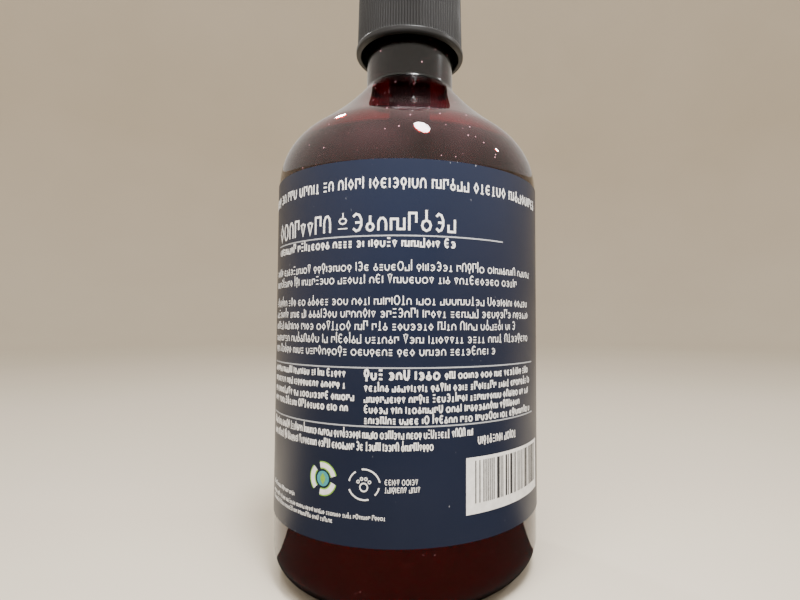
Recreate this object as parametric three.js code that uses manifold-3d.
// Round shampoo bottle with a screw-on lotion pump.
// Millimetres, +Z up. The origin is the centre of the standing ring, on the ground plane, and the
// bottle's axis is the Z axis. The pump's nozzle points along +Y and the label's seam faces -X.

import * as THREE from 'three';
import { mergeVertices } from 'three/addons/utils/BufferGeometryUtils.js';
import Module from 'manifold-3d';

const wasm = await Module();
wasm.setup();

// ---------------------------------------------------------------- driving dimensions
const GAP = 0.3;                    // clearance between pieces that meet
const BODY_FACETS = 40;
const COLLAR_FACETS = 40;
const PUMP_FACETS = 24;
const TUBE_FACETS = 16;
const DEG = Math.PI / 180;

// Bottle
const BODY_RADIUS = 37.5;
const WALL = 0.9;
const HEEL_RADIUS = 9;
const DOME_HEIGHT = 5;              // push-up in the middle of the base
const DOME_RADIUS = 25.5;
const PANEL_TOP = 106.5;            // where the straight side ends and the shoulder starts
const SHOULDER_RADIUS = 20.2;
const FLARE_RADIUS = 82;            // hollow sweep from the shoulder up to the neck
const SLOPE_LOW = 37.9 * DEG;       // fall of the flare at the shoulder
const SLOPE_HIGH = 51.6 * DEG;      // fall of the flare at the neck
const NECK_RADIUS = 12.9;
const NECK_BORE = 10.9;
const NECK_TOP = 166.5;
const FILL_HEIGHT = 117;

// Screw thread of the neck and collar: 28 mm neck, six turns to the inch
const PITCH = 4.233;
const THREAD_TURNS = 1.5;
const NECK_THREAD_CREST = 13.8;
const NECK_THREAD_START = NECK_TOP - 9.4;
const COLLAR_THREAD_CREST = 13.4;
const CLOSURE_THREAD = { turns: THREAD_TURNS, pitch: PITCH, stepsPerTurn: 18 };

// Short screw that holds the head down when it is turned at the foot of its stroke
const LOCK_THREAD = { turns: 1, foot: 1.1, land: 0.4, pitch: 2.4, stepsPerTurn: 16 };

// Label
const LABEL_BOTTOM = 18;
const LABEL_TOP = 106.3;
const LABEL_STANDOFF = 0.1;
const LABEL_THICKNESS = 0.15;
const LABEL_SEAM = 0.4;             // open width where the two ends meet

// Pump heights, worked out from the neck's sealing face
const STROKE = 14;
const CHAMBER_RADIUS = 5.6;
const HOUSING_RADIUS = 6.3;
const HOUSING_FLANGE = 13.6;
const FLANGE_BOTTOM = NECK_TOP + 1.3;
const FLANGE_TOP = FLANGE_BOTTOM + 1.2;
const LEDGE = NECK_TOP - 51.4;      // floor of the pump chamber, where the spring stands
const SEAT_TOP = LEDGE - 4.6;
const SOCKET_TOP = SEAT_TOP - 2.5;
const SOCKET_BOTTOM = SOCKET_TOP - 5.5;
const BALL_RADIUS = 2.4;
const BALL_CENTRE = SEAT_TOP + 0.2;
const TUBE_RADIUS = 2.6;
const TUBE_BORE = 1.9;
const TUBE_END = 8;
const ROD_BOTTOM = LEDGE + 14.9;
const ROD_SHOULDER = ROD_BOTTOM + 7.5;
const PISTON_BOTTOM = ROD_SHOULDER + 2.3;
const PISTON_TOP = PISTON_BOTTOM + 6.3;
const STEM_BOTTOM = PISTON_TOP + 0.4;
const ROD_TOP = STEM_BOTTOM + 12;
const STEM_RADIUS = 4;
const TOWER_TOP = NECK_TOP + 11;    // upper edge of the chaplet
const TOWER_RADIUS = 9.6;
const WELL_FLOOR = TOWER_TOP - 8;
const SLEEVE_BOTTOM = WELL_FLOOR - 11;

// Collar
const COLLAR_RIM = 149.5;
const COLLAR_TOP = FLANGE_TOP + 2.8;
const COLLAR_BORE = 14.45;
const COLLAR_LIP = 16.3;
const COLLAR_CREST = 15.95;         // over the ribs, at the lower end
const COLLAR_PANEL = 1.6;
const COLLAR_HOLE = 9.9;
const RIB_COUNT = 120;
const RIB_DEPTH = 0.35;
const COLLAR_DRAFT = 0.022;         // radius lost per millimetre of height

// Actuator
const BOSS_RADIUS = 6.9;
const BOSS_BOTTOM = WELL_FLOOR + STROKE + 1;
const SKIRT_BOTTOM = TOWER_TOP + STROKE + 0.5;
const HEAD_RADIUS = 12.2;
const HEAD_TOP = SKIRT_BOTTOM + 10.5;
const STEM_TOP = HEAD_TOP - 4.8;
const NOZZLE_REACH = 36.5;

// ---------------------------------------------------------------- helpers
const point = (r, z) => new THREE.Vector2(r, z);

function arc(cx, cz, radius, from, to, steps) {
  return Array.from({ length: steps + 1 }, (_, i) => {
    const a = from + ((to - from) * i) / steps;
    return point(cx + radius * Math.cos(a), cz + radius * Math.sin(a));
  });
}

function closeRing(points) {
  return [...points, points[0].clone()];
}

// Merged, position-only geometry without zero-area faces, its faces turned outwards.
function clean(geometry) {
  const bare = geometry.clone();
  bare.deleteAttribute('normal');
  bare.deleteAttribute('uv');
  const merged = mergeVertices(bare);
  const index = merged.getIndex().array;
  const kept = [];
  for (let i = 0; i < index.length; i += 3) {
    const [a, b, c] = [index[i], index[i + 1], index[i + 2]];
    if (a !== b && b !== c && c !== a) kept.push([a, b, c]);
  }
  const p = merged.getAttribute('position');
  const corner = (i) => new THREE.Vector3().fromBufferAttribute(p, i);
  const volume = kept.reduce((sum, [a, b, c]) => sum + corner(a).dot(corner(b).cross(corner(c))), 0);
  merged.setIndex((volume < 0 ? kept.map(([a, b, c]) => [a, c, b]) : kept).flat());
  return merged;
}

function solid(geometry) {
  const g = clean(geometry);
  const vertProperties = new Float32Array(g.getAttribute('position').array);
  const triVerts = new Uint32Array(g.getIndex().array);
  return new wasm.Manifold(new wasm.Mesh({ numProp: 3, vertProperties, triVerts }));
}

function geometryOf(manifold) {
  const mesh = manifold.getMesh();
  const g = new THREE.BufferGeometry();
  g.setAttribute('position', new THREE.BufferAttribute(new Float32Array(mesh.vertProperties), 3));
  g.setIndex(Array.from(mesh.triVerts));
  return g;
}

// A profile of (radius, height) points turned about the Z axis.
function turned(points, facets) {
  return new THREE.LatheGeometry(points, facets).rotateX(Math.PI / 2);
}

// Joins rings of equally many points into one closed skin, with a flat fan over each end.
function skinned(rings) {
  const count = rings[0].length;
  const positions = rings.flat().flatMap((v) => v.toArray());
  const index = [];
  for (let i = 0; i + 1 < rings.length; i += 1) {
    for (let j = 0; j < count; j += 1) {
      const [a, b] = [i * count + j, i * count + ((j + 1) % count)];
      index.push(a, b, b + count, a, b + count, a + count);
    }
  }
  const last = (rings.length - 1) * count;
  for (let j = 1; j + 1 < count; j += 1) {
    index.push(0, j + 1, j, last, last + j, last + j + 1);
  }
  const g = new THREE.BufferGeometry();
  g.setAttribute('position', new THREE.Float32BufferAttribute(positions, 3));
  g.setIndex(index);
  return g;
}

// A screw ridge standing on a round wall. A crest smaller than the wall's radius makes an inner ridge.
function threadRidge({ wall, crest, start, turns, foot, land, pitch, stepsPerTurn }) {
  const sink = 0.25 * Math.sign(crest - wall);
  const fade = 0.12 * turns;
  const steps = Math.round(turns * stepsPerTurn);
  return skinned(Array.from({ length: steps + 1 }, (_, i) => {
    const turn = (turns * i) / steps;
    const rise = Math.min(1, 0.1 + Math.min(turn, turns - turn) / fade);
    const top = wall + (crest - wall) * rise;
    const z = start + pitch * turn;
    const angle = 2 * Math.PI * turn;
    const section = [[wall - sink, -foot / 2], [top, -land / 2], [top, land / 2], [wall - sink, foot / 2]];
    return section.map(([r, h]) => new THREE.Vector3(r * Math.cos(angle), r * Math.sin(angle), z + h));
  }));
}

function plastic(color, roughness) {
  return new THREE.MeshStandardMaterial({ color, roughness, metalness: 0 });
}

function metal(color, roughness) {
  return new THREE.MeshStandardMaterial({ color, roughness, metalness: 1 });
}

function piece(name, geometry, material) {
  const mesh = new THREE.Mesh(clean(geometry), material);
  mesh.name = name;
  return mesh;
}

// ---------------------------------------------------------------- bottle, label and contents
const shoulderEndRadius = BODY_RADIUS - SHOULDER_RADIUS * (1 - Math.sin(SLOPE_LOW));
const shoulderEndHeight = PANEL_TOP + SHOULDER_RADIUS * Math.cos(SLOPE_LOW);
const flareEndRadius = NECK_RADIUS + FLARE_RADIUS * (Math.sin(SLOPE_HIGH) - Math.sin(SLOPE_LOW));
const flareRise = FLARE_RADIUS * (Math.cos(SLOPE_LOW) - Math.cos(SLOPE_HIGH));
const neckBase = shoulderEndHeight + (shoulderEndRadius - flareEndRadius) * Math.tan(SLOPE_LOW) + flareRise;
const flareCentreR = NECK_RADIUS + FLARE_RADIUS * Math.sin(SLOPE_HIGH);
const flareCentreZ = neckBase + FLARE_RADIUS * Math.cos(SLOPE_HIGH);

// The base and heel, from the axis to the foot of the straight side, set in from the outer skin.
function baseOutline(inset) {
  const domeRadius = (DOME_RADIUS ** 2 + DOME_HEIGHT ** 2) / (2 * DOME_HEIGHT);
  const sunk = domeRadius - DOME_HEIGHT;
  const edge = Math.asin((sunk + inset) / (domeRadius + inset));
  const heel = [BODY_RADIUS - HEEL_RADIUS, HEEL_RADIUS, HEEL_RADIUS - inset];
  return [
    ...arc(0, -sunk, domeRadius + inset, Math.PI / 2, edge, 3),
    ...arc(...heel, -Math.PI / 2, 0, 5),
  ];
}

function shoulderArc(inset, end) {
  return arc(BODY_RADIUS - SHOULDER_RADIUS, PANEL_TOP, SHOULDER_RADIUS - inset, 0, end, 6);
}

// The shoulder and the flare up to where it meets a neck wall of the given radius.
function shoulderOutline(inset, neckRadius) {
  const radius = FLARE_RADIUS + inset;
  const meet = Math.asin((flareCentreR - neckRadius) / radius);
  const flare = arc(flareCentreR, flareCentreZ, radius, -Math.PI / 2 - SLOPE_LOW, -Math.PI / 2 - meet, 4);
  return [...shoulderArc(inset, Math.PI / 2 - SLOPE_LOW), ...flare];
}

function bottle() {
  const chamfer = 0.5;
  const outside = [
    ...baseOutline(0),
    ...shoulderOutline(0, NECK_RADIUS),
    point(NECK_RADIUS, NECK_TOP - chamfer),
    point(NECK_RADIUS - chamfer, NECK_TOP),
  ];
  const inside = [...baseOutline(WALL), ...shoulderOutline(WALL, NECK_BORE), point(NECK_BORE, NECK_TOP)];
  const shell = solid(turned([...outside, ...inside.reverse()], BODY_FACETS));
  const thread = threadRidge({
    wall: NECK_RADIUS,
    crest: NECK_THREAD_CREST,
    start: NECK_THREAD_START,
    foot: 2.1,
    land: 0.8,
    ...CLOSURE_THREAD,
  });
  return geometryOf(shell.add(solid(thread)));
}

function label() {
  const inner = BODY_RADIUS + LABEL_STANDOFF;
  const outer = inner + LABEL_THICKNESS;
  const seamHalfAngle = LABEL_SEAM / 2 / outer;
  const start = Math.PI + seamHalfAngle;
  const sweep = 2 * Math.PI - 2 * seamHalfAngle;
  return skinned(Array.from({ length: BODY_FACETS + 1 }, (_, i) => {
    const angle = start + (sweep * i) / BODY_FACETS;
    const corners = [[inner, LABEL_BOTTOM], [outer, LABEL_BOTTOM], [outer, LABEL_TOP], [inner, LABEL_TOP]];
    return corners.map(([r, z]) => new THREE.Vector3(r * Math.cos(angle), r * Math.sin(angle), z));
  }));
}

// The liquid, a little clear of the wall, with the room that the housing and dip tube take in it.
function shampoo() {
  const inset = WALL + GAP;
  const surfaceAngle = Math.asin((FILL_HEIGHT - PANEL_TOP) / (SHOULDER_RADIUS - inset));
  const tubeRoom = TUBE_RADIUS + 0.6;
  const socketRoom = 4.4;
  const housingRoom = HOUSING_RADIUS + 0.5;
  return turned([
    ...baseOutline(inset),
    ...shoulderArc(inset, surfaceAngle),
    point(housingRoom, FILL_HEIGHT),
    point(housingRoom, SOCKET_TOP + 1),
    point(socketRoom, SOCKET_TOP - 1),
    point(socketRoom, SOCKET_BOTTOM - 1),
    point(tubeRoom, SOCKET_BOTTOM - 1),
    point(tubeRoom, TUBE_END - 0.5),
    point(0, TUBE_END - 0.5),
  ], BODY_FACETS);
}

// ---------------------------------------------------------------- closure
// The band of fine upright ribs, narrowing upwards with the collar's draft.
function ribBand() {
  const root = COLLAR_CREST - RIB_DEPTH;
  const outline = Array.from({ length: 2 * RIB_COUNT }, (_, i) => {
    const angle = (Math.PI * i) / RIB_COUNT;
    const r = i % 2 ? root : COLLAR_CREST;
    return point(r * Math.cos(angle), r * Math.sin(angle));
  });
  const shape = new THREE.Shape(outline);
  shape.holes.push(new THREE.Path().absarc(0, 0, COLLAR_BORE + 0.4, 0, 2 * Math.PI, true));
  const depth = COLLAR_TOP - COLLAR_RIM - 2.4;
  const band = new THREE.ExtrudeGeometry(shape, { depth, bevelEnabled: false, curveSegments: 20 });
  const p = band.getAttribute('position');
  for (let i = 0; i < p.count; i += 1) {
    const shrink = 1 - (COLLAR_DRAFT * p.getZ(i)) / COLLAR_CREST;
    p.setXY(i, p.getX(i) * shrink, p.getY(i) * shrink);
  }
  return band.translate(0, 0, COLLAR_RIM + 1.2);
}

function collar() {
  const lip = 0.7;
  const root = COLLAR_CREST - RIB_DEPTH - 0.1;
  const topRoot = root - COLLAR_DRAFT * (COLLAR_TOP - COLLAR_RIM);
  const shell = turned(closeRing([
    point(COLLAR_BORE + 0.5, COLLAR_RIM),
    ...arc(COLLAR_LIP - lip, COLLAR_RIM + lip, lip, -Math.PI / 2, Math.PI / 2, 4),
    point(topRoot, COLLAR_TOP - 0.9),
    point(topRoot - 0.9, COLLAR_TOP),
    point(COLLAR_HOLE, COLLAR_TOP),
    point(COLLAR_HOLE, COLLAR_TOP - COLLAR_PANEL),
    point(COLLAR_BORE - 0.4, COLLAR_TOP - COLLAR_PANEL),
    point(COLLAR_BORE - 0.15, COLLAR_RIM + 4),
    point(COLLAR_BORE, COLLAR_RIM + 1.2),
  ]), COLLAR_FACETS);
  const thread = threadRidge({
    wall: COLLAR_BORE - 0.3,
    crest: COLLAR_THREAD_CREST,
    start: NECK_THREAD_START - PITCH / 2,
    foot: 1.9,
    land: 0.7,
    ...CLOSURE_THREAD,
  });
  return geometryOf(solid(shell).add(solid(ribBand())).add(solid(thread)));
}

function gasket() {
  const low = NECK_TOP + GAP / 2;
  const high = FLANGE_BOTTOM - GAP / 2;
  const inner = NECK_BORE + 0.3;
  const outer = NECK_RADIUS + 0.5;
  return turned(closeRing([
    point(inner, low),
    point(outer, low),
    point(outer, high),
    point(inner, high),
  ]), PUMP_FACETS);
}

// ---------------------------------------------------------------- pump, fixed parts
function housing() {
  const collarOfBarrel = 10.2;      // wider top that takes the chaplet
  const mouth = 9.3;
  const barrelStep = SLEEVE_BOTTOM - 5;
  const cage = 3.3;                 // room round the inlet ball
  const throat = BALL_RADIUS - 0.2; // holds the ball in its cage
  const port = 1.7;
  const socket = TUBE_RADIUS + 0.2;
  const socketOuter = 3.9;
  return turned(closeRing([
    point(socket, SOCKET_BOTTOM),
    point(socketOuter, SOCKET_BOTTOM),
    point(socketOuter, SOCKET_TOP - 1),
    point(5, SOCKET_TOP),
    point(HOUSING_RADIUS, SEAT_TOP + 2),
    point(HOUSING_RADIUS, barrelStep - 3),
    point(collarOfBarrel, barrelStep),
    point(collarOfBarrel, FLANGE_BOTTOM),
    point(HOUSING_FLANGE, FLANGE_BOTTOM),
    point(HOUSING_FLANGE, FLANGE_TOP),
    point(mouth, FLANGE_TOP),
    point(mouth, barrelStep + 1),
    point(CHAMBER_RADIUS, barrelStep - 1.5),
    point(CHAMBER_RADIUS, LEDGE),
    point(throat, LEDGE),
    point(throat, LEDGE - 0.6),
    point(cage, LEDGE - 1.2),
    point(cage, SEAT_TOP),
    point(port, SEAT_TOP - port),
    point(port, SOCKET_TOP),
    point(socket, SOCKET_TOP),
  ]), PUMP_FACETS);
}

function chaplet() {
  const sleeve = STEM_RADIUS + GAP;
  const well = 7.7;
  const plug = 9;                   // fits into the mouth of the housing
  const plugBore = 7.9;
  const flange = 12;                // held down by the collar's top panel
  const underPanel = COLLAR_TOP - COLLAR_PANEL - 0.2;
  const body = solid(turned(closeRing([
    point(sleeve, SLEEVE_BOTTOM),
    point(sleeve + 1, SLEEVE_BOTTOM),
    point(sleeve + 1, WELL_FLOOR - 1.8),
    point(plugBore, WELL_FLOOR - 1.8),
    point(plugBore, SLEEVE_BOTTOM - 3),
    point(plug, SLEEVE_BOTTOM - 3),
    point(plug, FLANGE_TOP + 0.2),
    point(flange, FLANGE_TOP + 0.2),
    point(flange, underPanel),
    point(TOWER_RADIUS, underPanel),
    point(TOWER_RADIUS, TOWER_TOP - 0.5),
    point(TOWER_RADIUS - 0.5, TOWER_TOP),
    point(well + 0.4, TOWER_TOP),
    point(well, TOWER_TOP - 0.4),
    point(well, WELL_FLOOR),
    point(sleeve, WELL_FLOOR),
  ]), PUMP_FACETS));
  const lockThread = threadRidge({
    wall: well,
    crest: BOSS_RADIUS + 0.3,
    start: TOWER_TOP - 4.2,
    ...LOCK_THREAD,
  });
  return geometryOf(body.add(solid(lockThread)));
}

// Straight tube with its lower end cut on the slant, so that it can't seal against the base.
function dipTube() {
  const top = SOCKET_TOP - GAP;
  const slant = 40 * DEG;
  const tube = solid(turned(closeRing([
    point(TUBE_BORE, TUBE_END),
    point(TUBE_RADIUS, TUBE_END),
    point(TUBE_RADIUS, top),
    point(TUBE_BORE, top),
  ]), TUBE_FACETS));
  const cutter = new THREE.BoxGeometry(20, 20, 10).translate(0, 0, -5);
  cutter.rotateY(slant).translate(0, 0, TUBE_END + TUBE_RADIUS * Math.tan(slant));
  return geometryOf(tube.subtract(solid(cutter)));
}

function inletBall() {
  return new THREE.SphereGeometry(BALL_RADIUS, 14, 10).rotateX(Math.PI / 2).translate(0, 0, BALL_CENTRE);
}

class Coil extends THREE.Curve {
  constructor(radius, bottom, height, turns) {
    super();
    Object.assign(this, { radius, bottom, height, turns });
  }

  getPoint(t, target = new THREE.Vector3()) {
    const a = 2 * Math.PI * this.turns * t;
    return target.set(this.radius * Math.cos(a), this.radius * Math.sin(a), this.bottom + this.height * t);
  }
}

function spring() {
  const wire = 0.45;
  const turns = 7;
  const margin = wire + GAP;
  const path = new Coil(4.2, LEDGE + margin, ROD_SHOULDER - LEDGE - 2 * margin, turns);
  const section = new THREE.Shape(new THREE.Path().absarc(0, 0, wire, 0, 2 * Math.PI).getPoints(6).slice(0, 6));
  return new THREE.ExtrudeGeometry(section, { steps: turns * 10, extrudePath: path, bevelEnabled: false });
}

// ---------------------------------------------------------------- pump, moving parts
function piston() {
  const bore = 3.9;
  const lip = CHAMBER_RADIUS - 0.15;
  const waist = lip - 0.35;
  const groove = 4.6;
  return turned(closeRing([
    point(bore, PISTON_BOTTOM),
    point(groove, PISTON_BOTTOM + 1.2),
    point(lip - 0.5, PISTON_BOTTOM),
    point(lip, PISTON_BOTTOM),
    point(waist, PISTON_BOTTOM + 2),
    point(waist, PISTON_TOP - 2),
    point(lip, PISTON_TOP),
    point(lip - 0.5, PISTON_TOP),
    point(groove, PISTON_TOP - 1.2),
    point(bore, PISTON_TOP - 0.6),
  ]), PUMP_FACETS);
}

function pistonRod() {
  const bore = 1.6;
  const guide = 2.8;                // runs inside the spring
  const flange = 5;                 // rests on the spring
  const flangeTop = PISTON_BOTTOM - 0.9;
  const post = 3.6;
  return turned(closeRing([
    point(bore, ROD_BOTTOM),
    point(guide, ROD_BOTTOM),
    point(guide, ROD_SHOULDER),
    point(flange, ROD_SHOULDER),
    point(flange, flangeTop),
    point(post, flangeTop),
    point(post, ROD_TOP - 0.4),
    point(3.2, ROD_TOP),
    point(2.6, ROD_TOP),
    point(bore, ROD_TOP - 1),
  ]), TUBE_FACETS);
}

function stem() {
  const socket = 3.75;              // slides over the piston rod
  const valve = 2.9;                // room round the outlet ball
  const bore = 1.8;
  const foot = 4.9;                 // stops the stem under the chaplet's sleeve
  const thick = STEM_RADIUS + 0.05;
  return turned(closeRing([
    point(socket, STEM_BOTTOM),
    point(foot, STEM_BOTTOM),
    point(foot, STEM_BOTTOM + 2),
    point(thick, STEM_BOTTOM + 3),
    point(thick, ROD_TOP),
    point(STEM_RADIUS, ROD_TOP + 1),
    point(STEM_RADIUS, STEM_TOP),
    point(bore, STEM_TOP),
    point(bore, ROD_TOP + 6),
    point(valve, ROD_TOP + 5),
    point(valve, ROD_TOP + 0.3),
    point(socket, ROD_TOP + 0.3),
  ]), TUBE_FACETS);
}

function outletBall() {
  const radius = 2.1;
  const centre = ROD_TOP + 1.1;
  return new THREE.SphereGeometry(radius, 12, 8).rotateX(Math.PI / 2).translate(0, 0, centre);
}

// Rounded-rectangle section of the nozzle in the plane across Y.
function nozzleSection(y, z, width, height) {
  const power = 2 / 3;
  return Array.from({ length: 20 }, (_, i) => {
    const a = (2 * Math.PI * i) / 20;
    const bulge = (v) => Math.sign(v) * Math.abs(v) ** power;
    return new THREE.Vector3((width / 2) * bulge(Math.cos(a)), y, z + (height / 2) * bulge(Math.sin(a)));
  });
}

function nozzle() {
  const tip = NOZZLE_REACH;
  return skinned([
    nozzleSection(2, HEAD_TOP - 5, 17, 8),
    nozzleSection(10, HEAD_TOP - 5, 15, 8),
    nozzleSection(20, HEAD_TOP - 5.4, 11, 7.4),
    nozzleSection(29, HEAD_TOP - 6.4, 8.6, 6.6),
    nozzleSection(tip - 2.5, HEAD_TOP - 8, 7.6, 6.4),
    nozzleSection(tip, HEAD_TOP - 9, 7, 6.4),
  ]);
}

function nozzleChannel() {
  const path = new THREE.CatmullRomCurve3([
    new THREE.Vector3(0, -1, HEAD_TOP - 6),
    new THREE.Vector3(0, 10, HEAD_TOP - 6),
    new THREE.Vector3(0, 24, HEAD_TOP - 6.4),
    new THREE.Vector3(0, NOZZLE_REACH - 2.5, HEAD_TOP - 8.2),
    new THREE.Vector3(0, NOZZLE_REACH + 2, HEAD_TOP - 10.4),
  ]);
  const bore = new THREE.Shape(new THREE.Path().absarc(0, 0, 1.7, 0, 2 * Math.PI).getPoints(10).slice(0, 10));
  return new THREE.ExtrudeGeometry(bore, { steps: 10, extrudePath: path, bevelEnabled: false });
}

function actuator() {
  const skirtBore = HEAD_RADIUS - 1.2;
  const roof = HEAD_TOP - 4.5;      // top of the hollow between boss and skirt
  const socket = STEM_RADIUS + 0.25;
  const round = 2;
  const head = solid(turned([
    point(0, STEM_TOP + 0.4),
    point(socket, STEM_TOP + 0.4),
    point(socket, BOSS_BOTTOM),
    point(BOSS_RADIUS - 0.5, BOSS_BOTTOM),
    point(BOSS_RADIUS, BOSS_BOTTOM + 0.5),
    point(BOSS_RADIUS, roof),
    point(skirtBore, roof),
    point(skirtBore, SKIRT_BOTTOM),
    point(HEAD_RADIUS, SKIRT_BOTTOM),
    ...arc(HEAD_RADIUS - round, HEAD_TOP - round, round, 0, Math.PI / 2, 3),
    point(5, HEAD_TOP - 0.7),
    point(0, HEAD_TOP - 0.9),
  ], PUMP_FACETS));
  const lockThread = threadRidge({
    wall: BOSS_RADIUS,
    crest: 7.4,
    start: SKIRT_BOTTOM + 1,
    ...LOCK_THREAD,
  });
  const shroud = new THREE.CylinderGeometry(skirtBore, skirtBore, 8, PUMP_FACETS);
  shroud.rotateX(Math.PI / 2).translate(0, 0, roof - 4);
  const spout = solid(nozzle()).subtract(solid(shroud));
  return geometryOf(head.add(solid(lockThread)).add(spout).subtract(solid(nozzleChannel())));
}

// ---------------------------------------------------------------- assembly
const redPet = plastic(0x4a0c10, 0.08);
const navyPaper = plastic(0x2c3345, 0.45);
const liquid = plastic(0x8a5a3a, 0.1);
const blackPlastic = plastic(0x242222, 0.35);
const foam = plastic(0xd8d4c8, 0.8);
const milkyPlastic = plastic(0xd9d9d4, 0.4);
const clearTube = plastic(0xe4e6e4, 0.3);
const steel = metal(0xb4b7ba, 0.25);

const model = new THREE.Group();
model.add(
  piece('bottle', bottle(), redPet),
  piece('label', label(), navyPaper),
  piece('shampoo', shampoo(), liquid),
  piece('collar', collar(), blackPlastic),
  piece('gasket', gasket(), foam),
  piece('housing', housing(), blackPlastic),
  piece('chaplet', chaplet(), blackPlastic),
  piece('dip_tube', dipTube(), clearTube),
  piece('inlet_ball', inletBall(), steel),
  piece('spring', spring(), steel),
  piece('piston', piston(), milkyPlastic),
  piece('piston_rod', pistonRod(), milkyPlastic),
  piece('stem', stem(), blackPlastic),
  piece('outlet_ball', outletBall(), steel),
  piece('actuator', actuator(), blackPlastic),
);

export default model;
